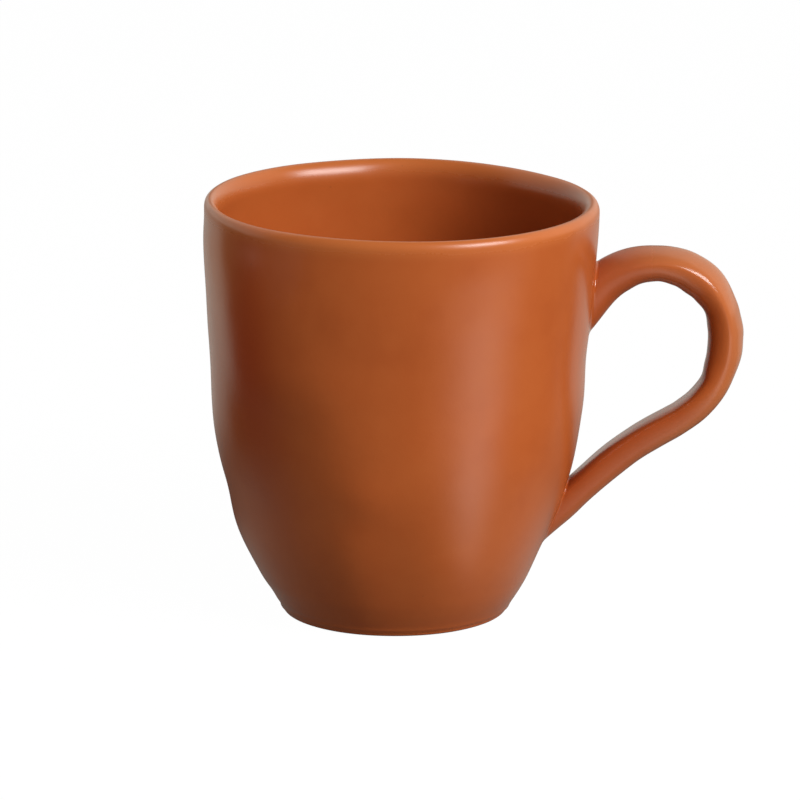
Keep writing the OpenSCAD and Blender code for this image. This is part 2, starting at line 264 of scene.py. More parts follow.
class StudioSettings(bpy.types.PropertyGroup):
    """Camera and lights; sweep, gleam and dim room are as bright as the glaze mirrors them."""

    distance: length("Distance", 1500.0, "Camera in front of the cup's axis")
    height: length("Height", 427.7, "Camera above the table")
    aside: length("Aside", 1.15, "Camera to the right of the cup's axis")
    pitch: turn("Pitch", 14.214, "How far the camera looks down")
    focal: number("Focal length", 312.56, "Focal length in millimetres", min=1.0)
    key: number("Key power", 13.6, "Soft light at the front right, in watts", min=0.0)
    fill: number("Fill power", 0.13, "Small low light at the left, in watts", min=0.0)
    sweep: share("Sweep", 0.5, "White sweep behind the cup")
    gleam: number("Gleam", 1.85, "The light's gleam on the table", min=0.0)
    gleam_turn: turn("Gleam turn", 41.0, "Right of the camera, where the gleam runs out")
    ambient: number("Ambient", 0.13, "Even light of the room", min=0.0)
    dim: share("Dim room", 0.03, "Room before the backdrop")


SETTINGS = {
    "mug_cup": CupShape,
    "mug_foot": FootShape,
    "mug_forming": HandForming,
    "mug_handle": HandleShape,
    "mug_finish": GlazeFinish,
    "mug_studio": StudioSettings,
}


class Term:
    """A socket that can be used in sums: each sum adds a Math node."""

    def __init__(self, bench, socket):
        self.bench = bench
        self.socket = socket

    def math(self, operation, *others):
        return self.bench.add("ShaderNodeMath", dict(enumerate((self, *others))), operation=operation)

    __add__ = __radd__ = partialmethod(math, "ADD")
    __sub__ = partialmethod(math, "SUBTRACT")
    __mul__ = __rmul__ = partialmethod(math, "MULTIPLY")
    __truediv__ = partialmethod(math, "DIVIDE")
    __pow__ = partialmethod(math, "POWER")
    __gt__ = partialmethod(math, "GREATER_THAN")

    def __neg__(self):
        return self * -1.0

    def __rsub__(self, other):
        return -self + other

    def limited(self):
        return self.math("MAXIMUM", 0.0).math("MINIMUM", 1.0)

    def eased(self):
        s = self.limited()
        return s * s * (3.0 - s * 2.0)

    def ramp(self, start, end):
        """Nothing before the start, one after the end, and eased between them."""
        return ((self - start) / (end - start)).eased()

    def bell(self):
        """One at nothing, fading on both sides."""
        return (-(self * self)).math("EXPONENT")

    def softened(self, power):
        return self.math("SIGN") * (self.math("ABSOLUTE") ** power)


class Bench:
    """Adds nodes to one tree."""

    def __init__(self, tree):
        self.tree = tree

    def plug(self, node, sockets):
        """Links terms to a node's sockets, and sets anything else as their value."""
        for key, value in sockets.items():
            if isinstance(value, Term):
                self.tree.links.new(value.socket, node.inputs[key])
            else:
                node.inputs[key].default_value = value

    def add(self, kind, sockets=None, out=0, **settings):
        """One node: its settings are set first, then its sockets. Gives the socket asked for."""
        node = self.tree.nodes.new(kind)
        for name, value in settings.items():
            setattr(node, name, value)
        self.plug(node, sockets or {})
        return Term(self, node.outputs[out])

    def place(self):
        """The place on the object."""
        return self.add("ShaderNodeTexCoord", out="Object")

    def carried(self, name):
        """A number that the mesh carries at each point."""
        return self.add("ShaderNodeAttribute", out="Fac", attribute_name=name)

    def split(self, vector):
        first = self.add("ShaderNodeSeparateXYZ", {0: vector})
        return [Term(self, socket) for socket in first.socket.node.outputs]

    def join(self, x, y, z):
        return self.add("ShaderNodeCombineXYZ", {0: x, 1: y, 2: z})

    def vector(self, operation, *values, out=0):
        return self.add("ShaderNodeVectorMath", dict(enumerate(values)), out, operation=operation)

    def scaled(self, vector, factor):
        return self.add("ShaderNodeVectorMath", {0: vector, "Scale": factor}, operation="SCALE")

    def blend(self, factor, first, second):
        """A mix of two colours."""
        first, second = (c if isinstance(c, Term) else (*c, 1.0) for c in (first, second))
        return self.add("ShaderNodeMix", {0: factor, 6: first, 7: second}, 2, data_type="RGBA")

    def noise(self, place, scale, detail=2.0, rough=0.5):
        return self.add("ShaderNodeTexNoise",
                        {"Vector": place, "Scale": scale, "Detail": detail, "Roughness": rough})

    def patch(self, middle, spread, amount, tall=1.0):
        """A soft patch round a place in millimetres, drawn out upwards where tall is above one."""
        flat = Vector((1.0, 1.0, 1.0 / tall))
        place = self.vector("MULTIPLY", self.place(), flat)
        apart = self.vector("DISTANCE", place, Vector(middle) * flat * MM, out=1)
        return (apart / (spread * MM)).bell() * amount


class GeometryBench(Bench):
    """A geometry tree with named inputs."""

    def __init__(self, name):
        super().__init__(bpy.data.node_groups.new(name, "GeometryNodeTree"))

    def give(self, **kinds):
        for kind, names in kinds.items():
            for name in names.split():
                self.tree.interface.new_socket(name, in_out="INPUT", socket_type="NodeSocket" + kind)
        entry = self.tree.nodes.new("NodeGroupInput")
        return SimpleNamespace(**{socket.name: Term(self, socket) for socket in entry.outputs if socket.name})

    def end(self, name, kind, value):
        self.tree.interface.new_socket(name, in_out="OUTPUT", socket_type="NodeSocket" + kind)
        self.plug(self.tree.nodes.new("NodeGroupOutput"), {0: value})
        return self.tree

    def finished(self, skin, material, seam=0.0):
        """Ends the tree with a real skin that has its material; a seam width closes and smooths it first."""
        if seam:
            skin = self.add("GeometryNodeMergeByDistance", {"Geometry": skin, "Distance": seam})
            skin = self.add("GeometryNodeSetShadeSmooth", {"Geometry": skin, "Shade Smooth": True})
        skin = self.add("GeometryNodeRealizeInstances", {0: skin})
        skin = self.add("GeometryNodeSetMaterial", {"Geometry": skin, "Material": material})
        return self.end("Geometry", "Geometry", skin)

    def position(self):
        return self.add("GeometryNodeInputPosition")

    def sheet(self, columns, rows):
        """A grid with its running share across and its row number."""
        grid = self.add("GeometryNodeMeshGrid",
                        {"Size X": 1.0, "Size Y": 1.0, "Vertices X": columns, "Vertices Y": rows})
        x, y, _ = self.split(self.position())
        return grid, x + 0.5, ((y + 0.5) * (rows - 1.0)).math("ROUND")

    def sampled(self, geometry, value, index, kind="FLOAT_VECTOR"):
        sockets = {"Geometry": geometry, "Value": value, "Index": index}
        return self.add("GeometryNodeSampleIndex", sockets, data_type=kind, domain="POINT")

    def read(self, geometry, name, index, kind="FLOAT"):
        """An attribute of another geometry's point."""
        value = self.add("GeometryNodeInputNamedAttribute", {"Name": name}, data_type=kind)
        return self.sampled(geometry, value, index, kind)

    def moved(self, geometry, position):
        return self.add("GeometryNodeSetPosition", {"Geometry": geometry, "Position": position})


def thumb_print_tree():
    """One soft dent: how far it moves the wall outwards at an azimuth and a height."""
    bench = GeometryBench("Thumb print")
    of = bench.give(Float="azimuth height at_azimuth at_height spread tall depth")
    around = ((of.azimuth - of.at_azimuth).math("COSINE") - 1.0) / (of.spread * of.spread)
    up = (of.height - of.at_height) / of.tall
    return bench.end("push", "Float", -(around.math("EXPONENT") * up.bell() * of.depth))


def pressed_lathe_tree(fading=(), lasting=()):
    """Turns an outline round the axis, then presses it out of true by hand."""
    thumb = thumb_print_tree()
    bench = GeometryBench("Pressed lathe")
    of = bench.give(
        Geometry="outline", Int="columns rows", Material="material",
        Float="height wall_foot fade oval oval_turn lean print_depth ripple ripple_size mouth_shift")
    grid, u, row = bench.sheet(of.columns, of.rows)
    radius, _, z = bench.split(bench.sampled(of.outline, bench.position(), row))
    azimuth = u * FULL_TURN
    rise = z / of.height

    def pushed_by(presses):
        return of.print_depth * sum(
            bench.add("GeometryNodeGroup", {
                "azimuth": azimuth, "height": rise, "at_azimuth": math.radians(at), "at_height": height,
                "spread": spread, "tall": tall, "depth": depth}, node_tree=thumb)
            for at, height, spread, tall, depth in presses)

    cosine, sine = azimuth.math("COSINE"), azimuth.math("SINE")
    oval = of.oval * rise * rise * ((azimuth - of.oval_turn) * 2.0).math("COSINE")
    round_place = bench.join(radius * cosine, radius * sine, z)
    ripple = (bench.noise(round_place, of.ripple_size, 1.0) - 0.5) * of.ripple * 2.0
    faded = ((z - of.wall_foot) / of.fade).eased()
    pushed = radius + (pushed_by(fading) + oval + ripple) * faded + pushed_by(lasting) * radius.ramp(*PRESS_RADII)
    leaned = of.lean * (((z - of.wall_foot) / (of.height - of.wall_foot)).limited() ** LEAN_POWER)
    inside = bench.read(of.outline, "inside", row)
    shifted = leaned - inside * rise.eased() * of.mouth_shift
    skin = bench.add("GeometryNodeStoreNamedAttribute", {"Geometry": grid, "Name": "inside", "Value": inside},
                     data_type="FLOAT", domain="POINT")
    skin = bench.moved(skin, bench.join(shifted + pushed * cosine, pushed * sine, z))
    return bench.finished(skin, of.material, SEAM)


def pulled_strap_tree():
    """Sweeps a softened oblong section along the stations of a path."""
    bench = GeometryBench("Pulled strap")
    of = bench.give(Geometry="path", Int="columns rows", Material="material")
    grid, u, row = bench.sheet(of.columns, of.rows)
    place = bench.sampled(of.path, bench.position(), row)
    across = bench.read(of.path, "across", row, "FLOAT_VECTOR")
    outer, inner, half_width, outer_soft, inner_soft, ridge, taper = (
        bench.read(of.path, name, row)
        for name in ("outer_half", "inner_half", "half_width", "outer_soft", "inner_soft", "ridge", "taper"))
    angle = u * FULL_TURN
    cosine, sine = angle.math("COSINE"), angle.math("SINE")
    outside = cosine > 0.0
    softness = inner_soft + (outer_soft - inner_soft) * outside
    depth, wide = cosine.softened(softness), sine.softened(softness)
    side = depth * (inner + (outer - inner) * outside) + wide * wide * ridge
    slanted = depth.math("MINIMUM", 0.0) * taper + 1.0
    place = bench.vector("ADD", place, bench.scaled(across, side))
    place = bench.vector("ADD", place, bench.join(0.0, wide * half_width * slanted, 0.0))
    return bench.finished(bench.moved(grid, place), of.material)


def slip_fillet_tree():
    """Fills the corner between two loops: along a hollow curve, then back inside the clay."""
    bench = GeometryBench("Slip fillet")
    of = bench.give(Geometry="loops", Int="columns rows", Float="depth", Material="material")
    grid, u, row = bench.sheet(of.columns + 1.0, of.rows)
    column = (u * of.columns).math("ROUND").math("MODULO", of.columns)
    position = bench.position()
    wall, corner, strap = (bench.sampled(of.loops, position, column + of.columns * float(k)) for k in range(3))
    last = of.rows - 1.0
    closing = row > (last - 0.5)
    behind = (row > (last - 1.5)) - closing
    t = (row / (last - 2.0)).limited() * (1.0 - closing)
    hollow = bench.vector("ADD", bench.scaled(wall, (1.0 - t) ** 2.0), bench.scaled(corner, t * (1.0 - t) * 2.0))
    hollow = bench.vector("ADD", hollow, bench.scaled(strap, t * t))
    middle = bench.scaled(bench.vector("ADD", wall, strap), 0.5)
    inside = bench.vector("ADD", corner, bench.scaled(bench.vector("SUBTRACT", corner, middle), of.depth))
    place = bench.vector("ADD", bench.scaled(hollow, 1.0 - behind), bench.scaled(inside, behind))
    return bench.finished(bench.moved(grid, place), of.material, SLIP_SEAM)


def placed(name, data):
    """A new object in the scene."""
    thing = bpy.data.objects.new(name, data)
    bpy.context.scene.collection.objects.link(thing)
    return thing


def grown(name, base, tree, **values):
    """A plain mesh from a base mesh and a geometry tree."""
    source = placed(name + "_base", base)
    modifier = source.modifiers.new("Form", "NODES")
    modifier.node_group = tree
    inputs = {item.name: item.identifier for item in tree.interface.items_tree if item.in_out == "INPUT"}
    for key, value in values.items():
        modifier[inputs[key]] = value
    graph = bpy.context.evaluated_depsgraph_get()
    mesh = bpy.data.meshes.new_from_object(source.evaluated_get(graph))
    source.modifiers.remove(modifier)
    bpy.data.objects.remove(source)
    if not mesh.polygons:
        raise RuntimeError(name + " came out empty")
    mesh.name = name
    return mesh


def outward(mesh):
    """Turns a closed mesh's faces outwards."""
    volume = 0.0
    mesh.calc_loop_triangles()
    for triangle in mesh.loop_triangles:
        a, b, c = (mesh.vertices[i].co for i in triangle.vertices)
        volume += a.dot(b.cross(c))
    if volume < 0.0:
        mesh.flip_normals()
    return mesh


def shown(name, mesh, slot, *nodes):
    """Puts a finished mesh in the scene as a piece that stands for CAD nodes."""
    piece = placed(name, mesh)
    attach(piece, BODY)
    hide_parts(*nodes)


def polyline(name, points, **attributes):
    """A base mesh of bare points, with attributes for a tree to read."""
    mesh = bpy.data.meshes.new(name)
    mesh.from_pydata(points, [(i, i + 1) for i in range(len(points) - 1)], [])
    for key, values in attributes.items():
        kind, field = ("FLOAT_VECTOR", "vector") if isinstance(values[0], Vector) else ("FLOAT", "value")
        for item, value in zip(mesh.attributes.new(key, kind, "POINT").data, values):
            setattr(item, field, value)
    return mesh


def on_curve(c, t):
    s = 1.0 - t
    return c[0] * s ** 3 + c[1] * (3 * t * s * s) + c[2] * (3 * t * t * s) + c[3] * t ** 3


def along_curve(c, t):
    s = 1.0 - t
    return (c[1] - c[0]) * (s * s) + (c[2] - c[1]) * (2 * t * s) + (c[3] - c[2]) * (t * t)


def between(a, b, parts):
    return Vector(a[i] + (b[i] - a[i]) * parts[i] for i in range(2))


def shares(steps, first=1):
    """Even shares of a stretch, up to its end."""
    return [i / steps for i in range(first, steps + 1)]


def part(value, start, end):
    """The share of the way from start to end."""
    return min(1.0, max(0.0, (value - start) / (end - start)))


def ramp(value, start, end):
    """The same, eased at both ends."""
    s = part(value, start, end)
    return s * s * (3 - 2 * s)


def uneven(stops, run):
    """The length added along the strap, passing smoothly from stop to stop."""
    for (a, low), (b, high) in zip(stops, stops[1:]):
        if run <= b:
            return (low + (high - low) * ramp(run, a, b)) * MM
    return stops[-1][1] * MM


class CupOutline:
    """The round cup before it is pressed: radii by height, and the outline for the lathe."""

    STEPS = 56
    # Rows of facets over each stretch of the outline; those of the wall lie closer towards the foot
    HEM_ROWS, WALL_ROWS, LIP_ROWS, MOUTH_ROWS, INNER_ROWS, COIL_ROWS, FLOOR_ROWS = 6, 104, 12, 18, 56, 16, 10
    WALL_ROW_POWER = 1.15
    # How far the glazed skin turns in under the foot, step by step
    HEM_INSETS = (2.4 * MM, 2.0 * MM, 1.5 * MM)
    # How much the crest of the lip counts as inside
    CREST_INSIDE = 0.4
    # Height below the lip over which a sloping wall comes to its upright thickness
    LEVEL_OUT = 4 * MM

    def __init__(self, cup, foot):
        self.cup = cup
        self.foot = foot
        self.base = foot.height
        self.floor = foot.height + cup.slab
        self.wall_foot = self.floor + cup.slip
        self.lip_foot = cup.height - cup.lip_outer
        self.mouth = cup.height - cup.lip_inner
        heel = Vector((cup.heel / 2, self.base))
        shoulder = Vector((cup.shoulder / 2, cup.shoulder_height))
        lip = Vector((cup.lip / 2, self.lip_foot))
        bowl = [heel, *(between(heel, shoulder, s) for s in BOWL_SHARES), shoulder]
        wall = [shoulder, *(between(shoulder, lip, s) for s in WALL_SHARES), lip]
        self.outer = [on_curve(bowl, t) for t in shares(self.STEPS, 0)[:-1]]
        self.outer += [on_curve(wall, t) for t in shares(self.STEPS, 0)]

    def plain_radius(self, z):
        points = self.outer
        if z <= points[0][1]:
            low = self.foot.diameter / 2
            return low + (points[0][0] - low) * max(0.0, z) / self.base
        for a, b in zip(points, points[1:]):
            if z <= b[1]:
                return a[0] + (b[0] - a[0]) * (z - a[1]) / (b[1] - a[1])
        return points[-1][0]

    def radius(self, z):
        """The outer radius, with the bowl eased into the wall."""
        reach = self.cup.soften * part(min(z, self.lip_foot - z), 0.0, 2 * self.cup.soften)
        total = weight = 0.0
        for k in range(-4, 5):
            weighs = math.exp(-(k / 2) ** 2 / 2)
            total += weighs * self.plain_radius(z + k / 2 * reach)
            weight += weighs
        return total / weight

    def inner(self, z):
        """The inner radius: a sloping wall is as thick as an upright one."""
        slope = (self.radius(z + MM) - self.radius(z - MM)) / (2 * MM)
        close = part(self.lip_foot - z, 0.0, self.LEVEL_OUT)
        return self.radius(z) - self.cup.wall * (1 + (math.sqrt(1 + slope * slope) - 1) * close)

    def whole(self):
        """Radius, height and share of the inside, from the axis below over the lip to the axis inside."""
        outside = self.underside()
        low = outside[-1][1]
        heights = [low + (self.lip_foot - low) * s ** self.WALL_ROW_POWER for s in shares(self.WALL_ROWS)]
        outside += [(self.radius(z), z) for z in heights]
        return [(*p, 0.0) for p in outside] + self.over_lip() + [(*p, 1.0) for p in self.inside()]

    def underside(self):
        edge, hem = self.foot.rounding, self.foot.diameter / 2
        first, second, third = (hem - inset for inset in self.HEM_INSETS)
        points = [(first * s, self.base) for s in shares(self.HEM_ROWS, 0)]
        points += [(second, self.base / 2), (third, edge / 2)]
        for s in shares(self.HEM_ROWS, 0):
            a = s * QUARTER_TURN
            points.append((hem - edge + edge * math.sin(a), self.foot.lift + edge * (1 - math.cos(a))))
        return points

    def over_lip(self):
        cup, mid, points = self.cup, self.CREST_INSIDE, []
        outer_half, inner_half = cup.wall * cup.crest, cup.wall * (1 - cup.crest)
        crest = cup.lip / 2 - outer_half
        reach = crest - inner_half - self.inner(self.mouth)
        for s in shares(self.LIP_ROWS):
            a = s * QUARTER_TURN
            points.append((crest + outer_half * math.cos(a), self.lip_foot + cup.lip_outer * math.sin(a), mid * s))
        for s in shares(self.MOUTH_ROWS):
            a = s * QUARTER_TURN
            r = crest - (inner_half + reach * s) * math.sin(a)
            points.append((r, self.mouth + cup.lip_inner * math.cos(a), mid + (1 - mid) * s))
        return points

    def inside(self):
        coil_top = self.floor + self.cup.coil_rise
        heights = [self.mouth + (coil_top - self.mouth) * s for s in shares(self.INNER_ROWS)]
        points = [(self.inner(z), z) for z in heights]
        top = Vector(points[-1])
        corner = Vector((self.inner(self.wall_foot), self.floor))
        toe = Vector((corner[0] - self.cup.coil_run, self.floor))
        for t in shares(self.COIL_ROWS):
            points.append(tuple(top * (1 - t) ** 2 + corner * (2 * t * (1 - t)) + toe * (t * t)))
        for t in shares(self.FLOOR_ROWS):
            s = 1 - t
            points.append((toe[0] * s, self.floor - self.cup.floor_dish * (1 - s * s)))
        return points


def strap_stations(outline, cup, forming, handle):
    """Places, directions and half sizes along the strap, from inside the wall to inside the wall."""
    upper = handle.upper * cup.height
    gap = upper - handle.lower * cup.height
    out = cup.lip / 2 + handle.reach - (handle.thickness + handle.swell) / 2

    def place(outwards, upwards):
        z = upper + upwards * gap
        rise = max(0.0, z - outline.wall_foot) / (cup.height - outline.wall_foot)
        x = outline.radius(z) + forming.lean * rise ** LEAN_POWER
        return Vector((x + outwards * (out - x), z))

    bends = [[place(*spot) for spot in bend] for bend in STRAP_SHARES]
    places, stations = [], []
    for s in shares(handle.rings, 0):
        run = s * len(bends)
        k = min(len(bends) - 1, int(run))
        spot = on_curve(bends[k], run - k)
        way = along_curve(bends[k], run - k).normalized()
        start = max(0.0, 1.0 - run)
        swell = math.exp(-abs((run - SWELL_AT) / SWELL_SPREAD) ** SWELL_POWER)
        tail = part(run, *TAIL)
        half = (handle.thickness + handle.flare * start + handle.swell * swell - handle.thinning * tail) / 2
        toe = handle.toe * math.exp(-((run - TOE_AT) / TOE_SPREAD) ** 2)
        narrow = 1 - handle.narrowing * ramp(run, *NARROWS)
        gable = ramp(run, *GABLE_STARTS) - ramp(run, *GABLE_ENDS)
        lower = ramp(run, *LOWER_ARM)
        places.append((spot[0], 0.0, spot[1]))
        stations.append({
            "across": Vector((-way[1], 0.0, way[0])),
            "outer_half": half + toe + uneven(OUTER_UNEVEN, run),
            "inner_half": half + uneven(INNER_UNEVEN, run),
            "half_width": handle.width / 2 * (1 + JOINT_WIDTH_SHARE * start) * narrow,
            "ridge": handle.ridge * (ramp(run, *RIDGE_STARTS) - RIDGE_TURN_SHARE * lower),
            "outer_soft": OUTER_POWER + GABLE_ADDS * gable + OUTER_LOWER_ADDS * lower,
            "inner_soft": INNER_POWER + ROUND_ADDS * ramp(run, *INSIDE_ROUNDS) + INNER_LOWER_ADDS * lower,
            "taper": handle.taper * (1 - lower),
        })
    return places, {name: [station[name] for station in stations] for name in stations[0]}


def first_hit(tree, fibre, order):
    """Where a fibre of the strap first meets the wall, counted in stations."""
    for i, j in zip(order, order[1:]):
        step = fibre[j] - fibre[i]
        spot = tree.ray_cast(fibre[i], step.normalized(), step.length)[0]
        if spot is not None:
            return i + (j - i) * (spot - fibre[i]).length / step.length
    raise RuntimeError("a fibre of the strap misses the wall")


def at_station(fibre, run):
    k = max(0, min(len(fibre) - 2, int(run)))
    return fibre[k] + (fibre[k + 1] - fibre[k]) * (run - k)


def gone(fibre, run, distance):
    """The station a distance further along a fibre; a negative distance goes back."""
    step = math.copysign(FIBRE_STEP, distance)
    left = abs(distance)
    spot = at_station(fibre, run)
    while left > 0 and 0 <= run + step <= len(fibre) - 1:
        ahead = at_station(fibre, run + step)
        left -= (ahead - spot).length
        run, spot = run + step, ahead
    return run


class MUG_OT_body(bpy.types.Operator):
    """Make the glazed cup: bowl, wall, lip and inside"""

    bl_idname = "mug.body"
    bl_label = "Glazed body"

    def execute(self, context):
        scene = context.scene
        cup = scene.mug_cup
        outline = CupOutline(cup, scene.mug_foot)
        points = outline.whole()
        radii, heights, inside = zip(*points)
        base = polyline("cup_outline", [(r, 0.0, z) for r, z in zip(radii, heights)], inside=inside)
        mesh = grown(
            "cup_body", base, pressed_lathe_tree(PRINT_SHARES, SIDE_SHARES + FRONT_SHARES + LIP_SHARES),
            columns=cup.segments + 1, rows=len(points), height=cup.height, wall_foot=outline.wall_foot,
            mouth_shift=cup.mouth_shift,
            material=glaze_material("satin_terracotta_glaze", scene.mug_finish, cup),
            **{key: getattr(scene.mug_forming, key) for key in HandForming.__annotations__})
        shown("cup_body", outward(mesh), "terracotta_glaze", "cup_wall", "base_slab", "base_slip", "corner_coil")
        return {"FINISHED"}


class MUG_OT_foot(bpy.types.Operator):
    """Make the turned foot ring"""

    bl_idname = "mug.foot"
    bl_label = "Foot ring"

    ARC_ROWS = 12
    # Where the rows halfway up its sides lie
    SIDE_ROWS_AT = 0.6

    def execute(self, context):
        scene = context.scene
        foot, cup = scene.mug_foot, scene.mug_cup
        outer = foot.diameter / 2 - foot.glaze
        inner = foot.diameter / 2 - foot.width
        edge, side = foot.rounding, foot.height * self.SIDE_ROWS_AT
        points = [(inner, foot.height), (inner, side)]
        for middle, begin in ((inner + edge, 2 * QUARTER_TURN), (outer - edge, 3 * QUARTER_TURN)):
            for s in shares(self.ARC_ROWS, 0):
                a = begin + s * QUARTER_TURN
                points.append((middle + edge * math.cos(a), edge + edge * math.sin(a)))
        points += [(outer, side), (outer, foot.height), (inner, foot.height)]
        base = polyline("foot_outline", [(r, 0.0, z) for r, z in points], inside=[0.0] * len(points))
        mesh = outward(grown(
            "foot_ring_turned", base, pressed_lathe_tree(), columns=cup.segments + 1, rows=len(points),
            height=cup.height, fade=foot.height, material=foot_material(scene.mug_finish, foot)))
        mesh.set_sharp_from_angle(angle=SHARP)
        shown("foot_ring_turned", mesh, "bare_clay", "foot_ring")
        return {"FINISHED"}


class MUG_OT_handle(bpy.types.Operator):
    """Make the pulled strap handle and the slip that holds its two ends"""

    bl_idname = "mug.handle"
    bl_label = "Strap handle"

    def execute(self, context):
        scene = context.scene
        cup, handle, finish = scene.mug_cup, scene.mug_handle, scene.mug_finish
        outline = CupOutline(cup, scene.mug_foot)
        places, stations = strap_stations(outline, cup, scene.mug_forming, handle)
        glaze = glaze_material("strap_glaze", finish, cup, mirror=0.4, strap=True)
        pooled = glaze_material("pooled_seam_glaze", finish, cup, gloss=0.15, settled=0.5)
        rows = len(places)
        raw = grown(
            "strap", polyline("strap_path", places, **stations),
            pulled_strap_tree(), columns=handle.columns + 1, rows=rows, material=glaze)
        fibres = [[raw.vertices[c * rows + i].co.copy() for i in range(rows)] for c in range(handle.columns)]
        body = bpy.data.objects["cup_body"].data
        wall = BVHTree.FromPolygons([v.co for v in body.vertices], [p.vertices for p in body.polygons])
        crest, low = rows // 4, rows * 3 // 4
        starts = [first_hit(wall, f, range(crest, -1, -1)) for f in fibres]
        ends = [first_hit(wall, f, range(low, rows)) for f in fibres]
        self.make_strap(fibres, starts, ends, handle, glaze)
        self.make_slip("upper_slip", "upper_handle_slip", fibres, starts, handle.fillet, wall, pooled)
        self.make_slip("lower_slip", "lower_handle_slip", fibres, ends, -handle.fillet, wall, pooled)
        return {"FINISHED"}

    def make_strap(self, fibres, starts, ends, handle, glaze):
        columns, rings = handle.columns, handle.rings
        points, faces = [], []
        for fibre, start, end in zip(fibres, starts, ends):
            first = gone(fibre, start, -handle.sink)
            last = gone(fibre, end, handle.sink)
            points += [at_station(fibre, first + (last - first) * s) for s in shares(rings, 0)]
        rows = rings + 1
        for c in range(columns):
            d = (c + 1) % columns
            faces += [(c * rows + i, c * rows + i + 1, d * rows + i + 1, d * rows + i) for i in range(rings)]
        for ring in (0, rings):
            loop = [c * rows + ring for c in range(columns)]
            middle = len(points)
            points.append(sum((points[i] for i in loop), Vector()) / columns)
            turned = loop if ring else loop[::-1]
            faces += [(turned[c - 1], turned[c], middle) for c in range(columns)]
        mesh = bpy.data.meshes.new("strap_handle")
        mesh.from_pydata(points, [], faces)
        mesh.materials.append(glaze)
        mesh.shade_smooth()
        outward(mesh)
        mesh.set_sharp_from_angle(angle=SHARP)
        side = mesh.attributes.new("outer", "FLOAT", "POINT")
        turned_out = [math.cos(c / columns * FULL_TURN) for c in range(columns) for _ in range(rows)]
        side.data.foreach_set("value", turned_out + [0.0, 0.0])
        shown("strap_handle", mesh, "terracotta_glaze", "handle")

    def make_slip(self, name, node, fibres, hits, run, wall, glaze):
        """One fillet; run is how far it goes along the strap, or back if negative."""
        corners = [at_station(f, h) for f, h in zip(fibres, hits)]
        middle = sum(corners, Vector()) / len(corners)
        on_strap = [at_station(f, gone(f, h, run)) for f, h in zip(fibres, hits)]
        on_wall = []
        for corner in corners:
            normal = wall.find_nearest(corner)[1]
            away = corner - middle
            away -= normal * away.dot(normal)
            on_wall.append(wall.find_nearest(corner + away.normalized() * abs(run))[0])
        mesh = outward(grown(
            name, polyline(name + "_loops", on_wall + corners + on_strap), slip_fillet_tree(),
            columns=len(corners), rows=SLIP_ROWS, depth=SLIP_DEPTH, material=glaze))
        mesh.set_sharp_from_angle(angle=SLIP_SHARP)
        shown(name, mesh, "joint_slip", node)


def shader(name):
    """A new material with one Principled shader, and a bench for its nodes."""
    material = bpy.data.materials.new(name)
    material.use_nodes = True
    return material, Bench(material.node_tree), material.node_tree.nodes["Principled BSDF"]


def strap_shade_and_sheen(bench, x, z):
    """How much of the strap is darker near its ends, painted with sheen on its outer side and painted with shade
    on its inner face, and how much rougher it is.
    """
    near_wall = 1.0 - x.ramp(50 * MM, 63 * MM)
    lower_arm = 1.0 - z.ramp(44 * MM, 53 * MM)
    outer_bend = x.ramp(62 * MM, 70 * MM)
    ends = near_wall.math("MAXIMUM", lower_arm)
    outer = bench.carried("outer")
    # Painted sheen on the outer side of the handle.
    painted_sheen = outer.ramp(-0.35, 0.75) * (0.34 - near_wall * 0.2)
    # Painted shade on the handle's inner face at the outer bend and along the lower arm.
    dark = (-outer).ramp(0.45, 0.9) * outer_bend.math("MAXIMUM", lower_arm) * 0.3
    upper_face = lower_arm * (1.0 - outer.ramp(-0.65, -0.25))
    return ends * 0.6, painted_sheen, dark, ends * (1.0 - upper_face) * 0.2 - 0.06


